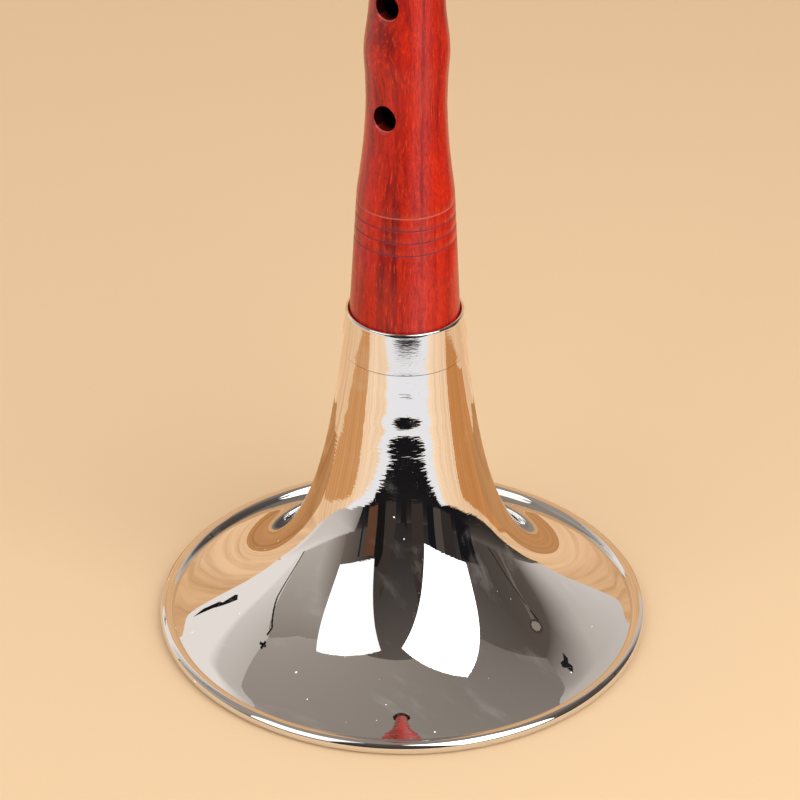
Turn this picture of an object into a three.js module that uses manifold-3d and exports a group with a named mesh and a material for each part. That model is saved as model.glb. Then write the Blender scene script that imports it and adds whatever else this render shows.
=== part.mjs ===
// A Chinese zurna (suona) in D, standing on the mouth of its bell.
// Millimetres, +Z up along the instrument's axis, origin at the middle of the mouth on the floor.
// The finger holes face -Y and the thumb hole faces +Y.

import * as THREE from "three";
import { mergeVertices } from "three/addons/utils/BufferGeometryUtils.js";
import Module from "manifold-3d";

const wasm = await Module();
wasm.setup();

// Driving dimensions of the bell
const mouth_radius = 62.5;
const bead_radius = 1.8; // the curled edge of the mouth, outside
const foot_wear = 0.1; // worn off the bead where it stands
const sheet = 0.5; // thickness of the spun metal
const wire_gap = 0.25; // around the wire inside the curled edge
const bell_length = 78.4; // from the floor to the collar's lower edge
const neck_step = 0.69; // how far the neck is drawn in under the collar
const solder_gap = 0.1;

// Driving dimensions of the collar
const collar_length = 10.9;
const collar_foot_wall = 0.96;
const collar_lip_wall = 0.55;
const collar_round = 0.25; // rounding of its edges
const lip_depth = 2; // bare lip above the bell's neck
const seat_clearance = 0.12; // between the pipe and the bell's neck

// Driving dimensions of the pipe, its heights counted from its lower end
const plug_depth = 29.3; // how far the pipe reaches below the collar's lip
const pipe_foot_radius = 15.08;
const shoulder_height = 61.5; // where the straight taper ends
const shoulder_radius = 11.68;
const cove_length = 21.4; // from the shoulder to the lowest finger hole
const hole_pitch = 27.5;
const end_length = 32.1; // from the top finger hole to the pipe's end
const first_waist_radius = 9.6; // at the lowest finger hole
const last_waist_radius = 7; // at the top finger hole
const first_bump_rise = 0.86; // swelling between the two lowest holes
const last_bump_rise = 0.5; // swelling between the two top holes
const end_bead_radius = 7.5;
const end_round = 1.2; // rounding of the end bead
const foot_chamfer = 0.6;
const bore_foot_radius = 7.75;
const hole_radius = 3.1;
const hole_chamfer = 0.35;
const ring_drop = 2.6; // from the shoulder down to the top engraved ring
const ring_pitch = 3.2;
const ring_width = 0.6;
const ring_depth = 0.3;
const socket_depth = 18;
const cut_overrun = 5; // how far a cutter runs past what it cuts

// Driving dimensions of the staple and what it carries
const staple_foot_radius = 3.7;
const staple_tip_radius = 2.05;
const staple_wall = 0.45;
const staple_end_gap = 0.3; // below the staple, in its socket
const thread_thickness = 0.45; // at the staple's foot
const thread_gap = 0.08; // between the thread and the staple
const thread_inset = 1.8; // bare metal at either end of the winding
const socket_clearance = 0.15;
const seat_gap = 0.12; // between parts stacked on the staple
const large_bead_radius = 6.6;
const large_bead_height = 9.5;
const small_bead_radius = 4.6;
const small_bead_height = 5.5;
const bead_wall = 0.5;
const bead_bore_gap = 0.1;
const flange_step = 0.9; // width of the shoulder on the staple that carries the air disc
const flange_height = 0.8;
const disc_radius = 12.5;
const disc_thickness = 0.7;
const disc_dish = 0.9; // how far the disc's edge lies below its middle
const disc_edge_step = 0.25; // how far the rounded edge stands out above and below
const disc_bore_gap = 0.25;
const disc_play = 2.5; // free travel of the disc below the reed

// Driving dimensions of the reed
const reed_length = 21;
const reed_tip_width = 9.5;
const reed_mouth = 0.7; // gap between the blades at the tip
const reed_wall = 0.42;
const reed_bore_gap = 0.1;
const reed_grip = 8.6; // length of staple inside the reed
const reed_wire_radius = 0.25;
const reed_wire_pitch = 0.95;
const reed_wire_turns = 4;
const reed_wire_height = 3.7; // from the reed's foot to the wire's lower end
const reed_wire_gap = 0.06;

// Counts
const finger_holes = 7;
const ring_count = 4;
const bell_sides = 48;
const pipe_sides = 32;
const staple_sides = 20;
const disc_sides = 40;
const edge_steps = 8; // round the bell's curled edge and its wire
const worn_steps = 2;
const flare_steps = 13;
const cove_steps = 4;
const bump_steps = 5;
const round_steps = 3;
const dome_steps = 5;
const disc_edge_steps = 6;
const hole_sides = 16;
const grip_steps = 3;
const reed_sides = 20;
const wire_steps = 8;
const wire_sides = 5;

// Angles around the curled edge, from the outside of the mouth
const degree = Math.PI / 180;
const groove_angle = 167 * degree;
const curl_end_angle = -150 * degree;
const fold_angle = 182 * degree;

// The flare: share of the height from the groove to the collar, share of the radius between them.
const flare_shares = [
  [0, 1], [0.0055, 0.958], [0.028, 0.853], [0.065, 0.7256], [0.1215, 0.568], [0.191, 0.4327],
  [0.2945, 0.301], [0.436, 0.1892], [0.6, 0.1086], [0.781, 0.0498], [1, 0],
];
// The pipe's end above the top finger hole: share of its length, share of the way from waist to bead.
const end_shares = [[0.12, 0.05], [0.3, 0.55], [0.46, 0.9], [0.6, 0.75], [0.7, 0.3], [0.78, 0.75], [0.84, 1]];
const cove_power = 1.8; // curve from the shoulder down to the first waist
const waist_power = 2; // how the waists narrow towards the top
const bump_power = 4;
const bump_middle_share = 0.52;
// The reed's blades: share of their length, share of the way to full width, share of the way to the mouth.
const blade_shares = [
  [0.12, 0.02, 0.16], [0.27, 0.24, 0.42], [0.45, 0.52, 0.64], [0.68, 0.8, 0.84], [1, 1, 1],
];
const thumb_share = 0.5; // where the thumb hole lies between the two top finger holes

// Places worked out from the sizes
const bead_ring_radius = mouth_radius - bead_radius;
const bead_height = bead_radius - foot_wear;
const collar_top = bell_length + collar_length;
const pipe_foot = collar_top - plug_depth;
const first_hole = pipe_foot + shoulder_height + cove_length;
const last_hole = first_hole + hole_pitch * (finger_holes - 1);
const pipe_top = last_hole + end_length;
const socket_floor = pipe_top - socket_depth;
const staple_foot = socket_floor + staple_end_gap;
const socket_radius = staple_foot_radius + thread_thickness + socket_clearance;
const large_bead_foot = pipe_top + seat_gap;
const small_bead_foot = large_bead_foot + large_bead_height + seat_gap;
const flange_foot = small_bead_foot + small_bead_height + seat_gap;
const disc_foot = flange_foot + flange_height + seat_gap;
const reed_foot = disc_foot + disc_thickness + disc_play + seat_gap;
const staple_tip = reed_foot + reed_grip;

const mix = (from, to, share) => from + (to - from) * share;

// Radius of the pipe's straight taper, carried up past the shoulder, at a height above the floor
const taperRadius = (z) => mix(pipe_foot_radius, shoulder_radius, (z - pipe_foot) / shoulder_height);
const neckRadius = (z) => taperRadius(z) + seat_clearance + sheet; // outside of the drawn-in neck

// Radius of the staple's straight cone at a height
function stapleRadius(z) {
  return mix(staple_foot_radius, staple_tip_radius, (z - staple_foot) / (staple_tip - staple_foot));
}

const flange_radius = stapleRadius(flange_foot) + flange_step;

// A closed mesh as a solid, its faces turned outwards
function solid(geometry) {
  const bare = geometry.index ? geometry.toNonIndexed() : geometry.clone();
  bare.deleteAttribute("normal");
  bare.deleteAttribute("uv");
  const merged = mergeVertices(bare);
  const corners = merged.index.array;
  const kept = [];
  for (let i = 0; i < corners.length; i += 3) {
    const [a, b, c] = [corners[i], corners[i + 1], corners[i + 2]];
    if (a !== b && b !== c && c !== a) kept.push(a, b, c);
  }
  const vertProperties = Float32Array.from(merged.attributes.position.array);
  const closed = (triVerts) => new wasm.Manifold(new wasm.Mesh({ numProp: 3, vertProperties, triVerts }));
  const made = closed(Uint32Array.from(kept));
  if (made.volume() > 0) return made;
  const flipped = [];
  for (let i = 0; i < kept.length; i += 3) flipped.push(kept[i], kept[i + 2], kept[i + 1]);
  return closed(Uint32Array.from(flipped));
}

// A mesh from points and the corners of its triangles
function meshOf(positions, indices) {
  const geometry = new THREE.BufferGeometry();
  geometry.setAttribute("position", new THREE.Float32BufferAttribute(positions, 3));
  geometry.setIndex(indices);
  return geometry;
}

// A solid as a mesh with smooth normals
function geometryOf(made) {
  const mesh = made.getMesh();
  const geometry = new THREE.BufferGeometry();
  geometry.setAttribute("position", new THREE.BufferAttribute(mesh.vertProperties, 3));
  geometry.setIndex(new THREE.BufferAttribute(mesh.triVerts, 1));
  geometry.computeVertexNormals();
  return geometry;
}

// A ring or tube turned about the Z axis from a closed outline of [radius, height] points
function turned(outline, sides) {
  const points = [...outline, outline[0]].map(([radius, height]) => new THREE.Vector2(radius, height));
  return solid(new THREE.LatheGeometry(points, sides).rotateX(Math.PI / 2));
}

// Points on a circle in the outline's plane, from one angle to another
function arc(radius, height, size, from, to, steps) {
  const points = [];
  for (let i = 0; i <= steps; i++) {
    const angle = mix(from, to, i / steps);
    points.push([radius + size * Math.cos(angle), height + size * Math.sin(angle)]);
  }
  return points;
}

// An outline's points moved square to it, to the right of its direction
function offset(points, distance) {
  return points.map(([radius, height], i) => {
    const before = points[Math.max(i - 1, 0)];
    const after = points[Math.min(i + 1, points.length - 1)];
    const along = new THREE.Vector2(after[0] - before[0], after[1] - before[1]).normalize();
    return [radius + along.y * distance, height - along.x * distance];
  });
}

const group = new THREE.Group();
group.name = "zurna";

function add(name, made, color, roughness, metalness) {
  const material = new THREE.MeshStandardMaterial({ color, roughness, metalness });
  const mesh = new THREE.Mesh(geometryOf(made), material);
  mesh.name = name;
  group.add(mesh);
}

const chrome = [0xd8dadd, 0.06, 1];
const steel = [0x8f9194, 0.35, 1];
const red_wood = [0x9c2417, 0.32, 0];
const brass = [0xc9a45a, 0.25, 1];
const thread = [0xe9e2cf, 0.9, 0];
const cane = [0xd9b36a, 0.6, 0];

// Outside of the flare, from the groove beside the curled edge up to the collar
function flare() {
  const [groove] = arc(bead_ring_radius, bead_height, bead_radius, groove_angle, groove_angle, 1);
  const top_radius = neckRadius(bell_length) + neck_step;
  const knots = flare_shares.map(([up, out]) =>
    new THREE.Vector2(mix(top_radius, groove[0], out), mix(groove[1], bell_length, up)));
  return new THREE.SplineCurve(knots).getPoints(flare_steps).map((point) => [point.x, point.y]);
}

// Spun sheet: neck, shoulder under the collar, flare, and the edge curled round its wire
function bell() {
  const outside = flare().reverse();
  const inside = offset(outside, sheet).reverse();
  const neck_top = collar_top - lip_depth;
  const worn_angle = Math.asin(-bead_height / bead_radius);
  const curl = bead_radius - sheet;
  const outline = [
    [neckRadius(neck_top), neck_top],
    [neckRadius(bell_length), bell_length],
    ...outside,
    ...arc(bead_ring_radius, bead_height, bead_radius, groove_angle, worn_angle, edge_steps).slice(1),
    ...arc(bead_ring_radius, bead_height, bead_radius, -Math.PI - worn_angle, curl_end_angle, worn_steps),
    ...arc(bead_ring_radius, bead_height, curl, curl_end_angle, fold_angle, edge_steps),
    ...inside.slice(1, -1),
    [outside[0][0] - sheet, bell_length - sheet],
    [neckRadius(bell_length - sheet) - sheet, bell_length - sheet],
    [neckRadius(neck_top) - sheet, neck_top],
  ];
  add("bell", turned(outline, bell_sides), ...chrome);
}

// Wire that stiffens the curled edge
function rimWire() {
  const size = bead_radius - sheet - wire_gap;
  const outline = arc(bead_ring_radius, bead_height, size, 0, 2 * Math.PI, edge_steps).slice(1);
  add("rim_wire", turned(outline, bell_sides), ...steel);
}

// Tapered sleeve over the neck, its bare lip round the pipe
function bellCollar() {
  const foot = bell_length + solder_gap;
  const inner = (z) => neckRadius(z) + solder_gap;
  const foot_outer = inner(foot) + collar_foot_wall;
  const lip_outer = inner(collar_top) + collar_lip_wall;
  const outline = [
    [inner(foot), foot],
    [foot_outer - collar_round, foot],
    [foot_outer, foot + collar_round],
    [lip_outer, collar_top - collar_round],
    [lip_outer - collar_round, collar_top],
    [inner(collar_top), collar_top],
  ];
  add("bell_collar", turned(outline, bell_sides), ...chrome);
}

// Radius of the waist at a finger hole, counted from 0 at the lowest hole
function waistRadius(hole) {
  const left = 1 - hole / (finger_holes - 1);
  return mix(last_waist_radius, first_waist_radius, left ** waist_power);
}

// Outside of the pipe from its foot to its end
function pipeOutside() {
  const foot_edge = pipe_foot + foot_chamfer;
  const points = [[pipe_foot_radius - foot_chamfer, pipe_foot], [taperRadius(foot_edge), foot_edge]];
  for (let ring = ring_count - 1; ring >= 0; ring--) {
    const z = pipe_foot + shoulder_height - ring_drop - ring * ring_pitch;
    points.push([taperRadius(z - ring_width / 2), z - ring_width / 2]);
    points.push([taperRadius(z) - ring_depth, z]);
    points.push([taperRadius(z + ring_width / 2), z + ring_width / 2]);
  }
  for (let i = 0; i <= cove_steps; i++) {
    const left = 1 - i / cove_steps;
    const radius = mix(first_waist_radius, shoulder_radius, left ** cove_power);
    points.push([radius, first_hole - cove_length * left]);
  }
  for (let hole = 0; hole < finger_holes - 1; hole++) {
    const rise = mix(first_bump_rise, last_bump_rise, hole / (finger_holes - 2));
    for (let i = 1; i <= bump_steps; i++) {
      const share = i / bump_steps;
      const swell = i < bump_steps ? Math.cos(Math.PI * (share - bump_middle_share)) ** bump_power : 0;
      const radius = mix(waistRadius(hole), waistRadius(hole + 1), share) + rise * swell;
      points.push([radius, first_hole + hole_pitch * (hole + share)]);
    }
  }
  for (const [up, out] of end_shares) {
    points.push([mix(last_waist_radius, end_bead_radius, out), last_hole + end_length * up]);
  }
  const end_ring = end_bead_radius - end_round;
  return [...points, ...arc(end_ring, pipe_top - end_round, end_round, 0, Math.PI / 2, round_steps)];
}

// A round cutter for a hole in the wall, from the bore out along one side, with its edge eased
function holeCutter(z, outer_radius, side) {
  const reach = outer_radius + cut_overrun;
  const straight = new THREE.CylinderGeometry(hole_radius, hole_radius, reach, hole_sides);
  straight.translate(0, side * (reach / 2), z);
  const ease = hole_chamfer + cut_overrun;
  const start = outer_radius - hole_chamfer - hole_radius ** 2 / (2 * outer_radius);
  const cone = new THREE.CylinderGeometry(hole_radius + ease, hole_radius, ease, hole_sides);
  if (side < 0) cone.rotateZ(Math.PI);
  cone.translate(0, side * (start + ease / 2), z);
  return solid(straight).add(solid(cone));
}

// Turned hardwood body: conical bore, socket for the staple, finger holes and a thumb hole
function pipe() {
  const bore_top_radius = staple_foot_radius - staple_wall;
  let made = turned([
    ...pipeOutside(),
    [socket_radius, pipe_top],
    [socket_radius, socket_floor],
    [bore_top_radius, socket_floor],
    [bore_foot_radius, pipe_foot],
  ], pipe_sides);
  for (let hole = 0; hole < finger_holes; hole++) {
    made = made.subtract(holeCutter(first_hole + hole_pitch * hole, waistRadius(hole), -1));
  }
  const thumb_hole = last_hole - hole_pitch * thumb_share;
  made = made.subtract(holeCutter(thumb_hole, last_waist_radius + last_bump_rise, 1));
  add("pipe", made, ...red_wood);
}

// Thin conical tube from the pipe's socket up into the reed, with the shoulder that carries the disc
function staple() {
  const flange_top = flange_foot + flange_height;
  const outline = [
    [staple_foot_radius, staple_foot],
    [stapleRadius(flange_foot), flange_foot],
    [flange_radius, flange_foot],
    [flange_radius, flange_top],
    [stapleRadius(flange_top), flange_top],
    [staple_tip_radius, staple_tip],
    [staple_tip_radius - staple_wall, staple_tip],
    [staple_foot_radius - staple_wall, staple_foot],
  ];
  add("staple", turned(outline, staple_sides), ...brass);
}

// Thread that seals the staple in its socket
function stapleThread() {
  const foot = staple_foot + thread_inset;
  const top = pipe_top - thread_inset;
  const outer = staple_foot_radius + thread_thickness;
  const outline = [
    [stapleRadius(foot) + thread_gap, foot],
    [outer - thread_thickness / 2, foot],
    [outer, foot + thread_thickness / 2],
    [outer, top - thread_thickness / 2],
    [outer - thread_thickness / 2, top],
    [stapleRadius(top) + thread_gap, top],
  ];
  add("staple_thread", turned(outline, staple_sides), ...thread);
}

// Hollow bead pressed from sheet and soldered on the staple
function hollowBead(name, foot, radius, height) {
  const bore = stapleRadius(foot) + bead_bore_gap;
  const middle = foot + height / 2;
  const shell = (size, half) => {
    const hole = Math.asin(Math.min(bore / size, 1));
    const points = [];
    for (let i = 0; i <= dome_steps; i++) {
      const angle = mix(hole, Math.PI - hole, i / dome_steps);
      points.push([size * Math.sin(angle), middle - half * Math.cos(angle) / Math.cos(hole)]);
    }
    return points;
  };
  const inside = shell(radius - bead_wall, height / 2 - bead_wall).reverse();
  add(name, turned([...shell(radius, height / 2), ...inside], staple_sides), ...chrome);
}

// Dished disc for the player's lips, loose on the staple, with a rounded edge
function airDisc() {
  const bore = stapleRadius(disc_foot) + disc_bore_gap;
  const edge_radius = disc_thickness / 2 + disc_edge_step;
  const middle = disc_foot - disc_dish + disc_thickness / 2;
  const join = Math.asin(disc_thickness / 2 / edge_radius);
  const outline = [
    [bore, disc_foot],
    [flange_radius, disc_foot],
    ...arc(disc_radius - edge_radius, middle, edge_radius, join - Math.PI, Math.PI - join, disc_edge_steps),
    [flange_radius, disc_foot + disc_thickness],
    [bore, disc_foot + disc_thickness],
  ];
  add("air_disc", turned(outline, disc_sides), ...chrome);
}

// Radius of the reed's bore where it grips the staple
const reedBore = (z) => stapleRadius(z) + reed_bore_gap;

// Cane tube, round where it grips the staple and flattened above it to a wide, thin mouth
function reed() {
  const blade_length = reed_length - reed_grip;
  const throat = reedBore(staple_tip);
  const bores = [];
  for (let i = 0; i <= grip_steps; i++) {
    const z = mix(reed_foot, staple_tip, i / grip_steps);
    bores.push([z, reedBore(z), reedBore(z)]);
  }
  for (const [up, wide, thin] of blade_shares) {
    bores.push([staple_tip + blade_length * up, mix(throat, reed_tip_width / 2 - reed_wall, wide),
      mix(throat, reed_mouth / 2, thin)]);
  }
  const outsides = bores.map(([z, wide, thin]) => [z, wide + reed_wall, thin + reed_wall]);
  const rows = [...outsides, ...bores.reverse()];
  const positions = [];
  for (const [z, half_width, half_thickness] of rows) {
    for (let i = 0; i < reed_sides; i++) {
      const angle = (2 * Math.PI * i) / reed_sides;
      positions.push(half_width * Math.cos(angle), half_thickness * Math.sin(angle), z);
    }
  }
  const indices = [];
  for (let row = 0; row < rows.length; row++) {
    const above = (row + 1) % rows.length;
    for (let i = 0; i < reed_sides; i++) {
      const j = (i + 1) % reed_sides;
      const [a, b] = [row * reed_sides + i, row * reed_sides + j];
      const [c, d] = [above * reed_sides + i, above * reed_sides + j];
      indices.push(a, b, d, a, d, c);
    }
  }
  add("reed", solid(meshOf(positions, indices)), ...cane);
}

// Middle line of the wire round the reed's throat, with straight ends one diameter long
function wireLine() {
  const start = reed_foot + reed_wire_height;
  const clear = reedBore(start) + reed_wall + reed_wire_gap + reed_wire_radius;
  const coil_radius = clear / Math.cos(Math.PI / wire_steps);
  const line = [];
  for (let i = 0; i <= reed_wire_turns * wire_steps; i++) {
    const angle = (2 * Math.PI * i) / wire_steps;
    const z = start + (reed_wire_pitch * i) / wire_steps;
    line.push(new THREE.Vector3(coil_radius * Math.cos(angle), coil_radius * Math.sin(angle), z));
  }
  const beyond = (from, to) => to.clone().sub(from).setLength(2 * reed_wire_radius).add(to);
  return [beyond(line[1], line[0]), ...line, beyond(line[line.length - 2], line[line.length - 1])];
}

// Least distance between points of the line more than half a turn apart, less the wire's thickness
function leastGap(line) {
  let least = Infinity;
  for (let i = 0; i < line.length; i++) {
    for (let j = i + wire_steps / 2; j < line.length; j++) {
      least = Math.min(least, line[i].distanceTo(line[j]) - 2 * reed_wire_radius);
    }
  }
  return least;
}

// Wire wound round the reed's throat: one unbroken tube
function reedWire() {
  const line = wireLine();
  console.log(`reed_wire: least gap to itself ${leastGap(line).toFixed(2)} mm`);
  const positions = [];
  line.forEach((centre, i) => {
    const before = line[Math.max(i - 1, 0)];
    const after = line[Math.min(i + 1, line.length - 1)];
    const along = after.clone().sub(before).normalize();
    const up = new THREE.Vector3(centre.x, centre.y, 0).cross(along).normalize();
    const across = along.clone().cross(up).normalize();
    for (let side = 0; side < wire_sides; side++) {
      const angle = (2 * Math.PI * side) / wire_sides;
      const point = centre.clone();
      point.addScaledVector(across, reed_wire_radius * Math.cos(angle));
      point.addScaledVector(up, reed_wire_radius * Math.sin(angle));
      positions.push(...point.toArray());
    }
  });
  const indices = [];
  for (let i = 0; i + 1 < line.length; i++) {
    for (let side = 0; side < wire_sides; side++) {
      const next = (side + 1) % wire_sides;
      const [a, b] = [i * wire_sides + side, i * wire_sides + next];
      indices.push(a, b, b + wire_sides, a, b + wire_sides, a + wire_sides);
    }
  }
  const last = (line.length - 1) * wire_sides;
  for (let side = 1; side + 1 < wire_sides; side++) {
    indices.push(0, side + 1, side, last, last + side, last + side + 1);
  }
  add("reed_wire", solid(meshOf(positions, indices)), ...brass);
}

bell();
rimWire();
bellCollar();
pipe();
staple();
stapleThread();
hollowBead("large_bead", large_bead_foot, large_bead_radius, large_bead_height);
hollowBead("small_bead", small_bead_foot, small_bead_radius, small_bead_height);
airDisc();
reed();
reedWire();

export default group;
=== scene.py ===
"""A Chinese zurna (suona) in D, standing on the mouth of its bell."""

import math

import bmesh
import bpy
import numpy as np
from mathutils import Matrix, Vector


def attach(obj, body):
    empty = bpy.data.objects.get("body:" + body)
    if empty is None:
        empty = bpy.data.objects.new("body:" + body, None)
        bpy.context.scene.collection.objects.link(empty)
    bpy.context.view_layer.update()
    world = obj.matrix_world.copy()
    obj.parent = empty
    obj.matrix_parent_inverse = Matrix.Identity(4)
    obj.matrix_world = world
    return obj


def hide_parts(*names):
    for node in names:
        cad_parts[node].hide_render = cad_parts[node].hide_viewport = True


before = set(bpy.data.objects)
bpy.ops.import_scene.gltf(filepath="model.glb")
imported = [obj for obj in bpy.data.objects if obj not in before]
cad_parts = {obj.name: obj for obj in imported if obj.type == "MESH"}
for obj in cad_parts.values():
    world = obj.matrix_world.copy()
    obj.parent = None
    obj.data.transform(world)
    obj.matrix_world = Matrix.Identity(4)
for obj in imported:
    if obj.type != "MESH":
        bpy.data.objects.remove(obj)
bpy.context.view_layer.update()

MM = 0.001
# Scale that turns shader coordinates into millimetres
TO_MM = (1000, 1000, 1000)

# ------------------------------------------------ sizes, in millimetres

MOUTH_RADIUS = 62.46
BEAD_RADIUS = 1.8
BEAD_RING = MOUTH_RADIUS - BEAD_RADIUS
BEAD_HEIGHT = 1.7
WORN_FLAT = 0.002
WIRE_GAP = 0.25
SHEET = 0.5
FLARE_FOOT = 2.95
SEAM_HEIGHT = 78.4
COLLAR_TOP = 89.3
COLLAR_LOOSENESS = 0.22
COLLAR_SLOPE = 0.098
LIP_DEPTH = 2.0
LIP_RADIUS = 0.42
SEAT_CLEARANCE = 0.12
SOLDER_GAP = 0.1

PIPE_FOOT = 60.0
PIPE_TOP = 340.0
FOOT_RADIUS = 15.08
SHOULDER_HEIGHT = 121.5
SHOULDER_RADIUS = 11.68
FIRST_HOLE = 142.9
HOLE_PITCH = 27.5
HOLES = 7
HOLE_RADIUS = 3.1
SINK_WIDTH = 0.22
THUMB_HOLE = FIRST_HOLE + HOLE_PITCH * 5.5
RING_HEIGHTS = (109.3, 112.5, 115.7, 118.9)
PIPE_END_RADIUS = 7.49
BORE_FOOT_RADIUS = 7.75
SOCKET_FLOOR = 322.0
SOCKET_RADIUS = 4.3

STAPLE_FOOT = 322.3
STAPLE_TIP = 368.2
STAPLE_FOOT_RADIUS = 3.7
STAPLE_TIP_RADIUS = 2.05
STAPLE_WALL = 0.45
LARGE_BEAD_FOOT = 340.12
SMALL_BEAD_FOOT = 349.74
FLANGE_FOOT = 355.36
FLANGE_TOP = 356.16
FLANGE_WIDTH = 0.9
THREAD_RADIUS = 3.95
THREAD_PITCH = 0.4
THREAD_SIZE = 0.19
THREAD_INSET = 1.8
DISC_FOOT = 356.28
DISC_RADIUS = 12.49
DISC_THICKNESS = 0.7
DISC_DISH = 0.9
REED_FOOT = 359.6
REED_TOP = 380.56
REED_WALL = 0.42
BLADE_HALF_WIDTH = 4.32
BLADE_HALF_GAP = 0.35
THROAT_WIRE_RADIUS = 0.25
THROAT_WIRE_PITCH = 0.95
THROAT_WIRE_TURNS = 4
THROAT_WIRE_FOOT = REED_FOOT + 3.7

CAMERA_TURN = math.radians(33.5)


def mix(a, b, share):
    return a + (b - a) * share


def taper(z):
    """Radius of the pipe's straight taper, carried on under the collar."""
    return mix(FOOT_RADIUS, SHOULDER_RADIUS, (z - PIPE_FOOT) / (SHOULDER_HEIGHT - PIPE_FOOT))


def staple_radius(z):
    return mix(STAPLE_FOOT_RADIUS, STAPLE_TIP_RADIUS, (z - STAPLE_FOOT) / (STAPLE_TIP - STAPLE_FOOT))


# ------------------------------------------------ outlines

def arc(radius, height, size, start, end, steps):
    """Points on a circle in the outline's plane, angles in degrees."""
    angles = np.radians(np.linspace(start, end, steps + 1))
    return [(radius + size * math.cos(a), height + size * math.sin(a)) for a in angles]


def smooth_line(knots, spacing):
    """A natural cubic spline through the knots, as points about one spacing apart."""
    p = np.array(knots, float)
    t = np.concatenate([[0], np.cumsum(np.linalg.norm(np.diff(p, axis=0), axis=1))])
    n, h = len(t), np.diff(t)
    a = np.eye(n)
    b = np.zeros((n, 2))
    for i in range(1, n - 1):
        a[i, i - 1:i + 2] = h[i - 1], 2 * (h[i - 1] + h[i]), h[i]
        b[i] = 6 * ((p[i + 1] - p[i]) / h[i] - (p[i] - p[i - 1]) / h[i - 1])
    m = np.linalg.solve(a, b)
    out = []
    for s in np.linspace(0, t[-1], max(2, round(t[-1] / spacing) + 1)):
        i = min(int(np.searchsorted(t, s, side="right")) - 1, n - 2)
        u, v = s - t[i], t[i + 1] - s
        out.append((m[i] * v**3 + m[i + 1] * u**3) / (6 * h[i])
                   + (p[i] / h[i] - m[i] * h[i] / 6) * v + (p[i + 1] / h[i] - m[i + 1] * h[i] / 6) * u)
    return [tuple(q) for q in out]


def inset(points, distance):
    """The same line, moved square to itself to the right of its direction."""
    p = np.array(points, float)
    along = np.gradient(p, axis=0)
    along /= np.linalg.norm(along, axis=1)[:, None]
    return [tuple(q) for q in p + np.stack([along[:, 1], -along[:, 0]], axis=1) * distance]


# ------------------------------------------------ mesh work

def new_object(name, data):
    made = bpy.data.objects.new(name, data)
    bpy.context.scene.collection.objects.link(made)
    return made


def mesh_object(name, bm):
    """An object in the scene with a bmesh's faces."""
    mesh = bpy.data.meshes.new(name)
    bm.to_mesh(mesh)
    bm.free()
    return new_object(name, mesh)


def finish_piece(bm, name, body, nodes, material, crease=30):
    """Turns a bmesh in millimetres into an object in metres on its body, sharp where it bends past crease degrees."""
    bmesh.ops.scale(bm, vec=(MM, MM, MM), verts=bm.verts[:])
    for face in bm.faces:
        face.smooth = True
    for edge in bm.edges:
        if len(edge.link_faces) == 2 and edge.calc_face_angle(0) > math.radians(crease):
            edge.smooth = False
    piece = mesh_object(name, bm)
    piece.data.materials.append(material)
    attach(piece, body)
    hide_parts(*nodes)
    return piece


def lathe(outline, sides):
    """A closed outline of (radius, height) points spun about the Z axis."""
    bm = bmesh.new()
    ring = [bm.verts.new((r, 0, z)) for r, z in outline]
    for i, vert in enumerate(ring):
        bm.edges.new((vert, ring[(i + 1) % len(ring)]))
    bmesh.ops.spin(bm, geom=bm.verts[:] + bm.edges[:], cent=(0, 0, 0), axis=(0, 0, 1),
                   angle=2 * math.pi, steps=sides, use_merge=True)
    bmesh.ops.remove_doubles(bm, verts=bm.verts[:], dist=1e-5)
    bmesh.ops.recalc_face_normals(bm, faces=bm.faces[:])
    return bm


# ------------------------------------------------ nodes

def feed(tree, node, **inputs):
    """Gives a node values or sockets; an input goes by its name, or by its number after an underscore."""
    for key, value in inputs.items():
        socket = node.inputs[int(key[1:])] if key[0] == "_" else node.inputs[key.replace("_", " ")]
        if isinstance(value, bpy.types.NodeSocket):
            tree.links.new(value, socket)
        else:
            socket.default_value = value


def add_node(tree, kind, settings=None, **inputs):
    made = tree.nodes.new(kind)
    for key, value in (settings or {}).items():
        setattr(made, key, value)
    feed(tree, made, **inputs)
    return made


def maths(tree, operation, a, b=0.0, clamp=False):
    return add_node(tree, "ShaderNodeMath", {"operation": operation, "use_clamp": clamp}, _0=a, _1=b).outputs[0]


def chained(tree, operation, values):
    """One operation over a row of values, from the left."""
    out = values[0]
    for value in values[1:]:
        out = maths(tree, operation, out, value)
    return out


def product(tree, *values):
    return chained(tree, "MULTIPLY", values)


def total(tree, *values):
    return chained(tree, "ADD", values)


def away_from(tree, value, middle):
    """How far a value is from a middle, either way."""
    return maths(tree, "ABSOLUTE", maths(tree, "SUBTRACT", value, middle))


def remap(tree, value, low, high, to_low=0.0, to_high=1.0, kind="LINEAR"):
    """A value carried from one range into another, and held at its ends."""
    return add_node(tree, "ShaderNodeMapRange", {"interpolation_type": kind}, _0=value, _1=low, _2=high,
                    _3=to_low, _4=to_high).outputs[0]


def fade(tree, value, low, high, to_low=0.0, to_high=1.0):
    """The same with soft ends."""
    return remap(tree, value, low, high, to_low, to_high, "SMOOTHSTEP")


def blend_colour(tree, share, a, b, mode="MIX"):
    made = add_node(tree, "ShaderNodeMix", {"data_type": "RGBA", "blend_type": mode}, _0=share, _6=a, _7=b)
    return made.outputs[2]


def ramp(tree, value, stops):
    """Colours along a value; the first two stops are its ends, and the others lie between them."""
    made = add_node(tree, "ShaderNodeValToRGB", Fac=value)
    bands = made.color_ramp.elements
    for i, (place, colour) in enumerate(stops):
        band = bands[i] if i < 2 else bands.new(place)
        band.position = place
        band.color = (*colour, 1)
    return made.outputs[0]


def split(tree, vector):
    return add_node(tree, "ShaderNodeSeparateXYZ", Vector=vector).outputs


def join(tree, x=0.0, y=0.0, z=0.0):
    return add_node(tree, "ShaderNodeCombineXYZ", _0=x, _1=y, _2=z).outputs[0]


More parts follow.
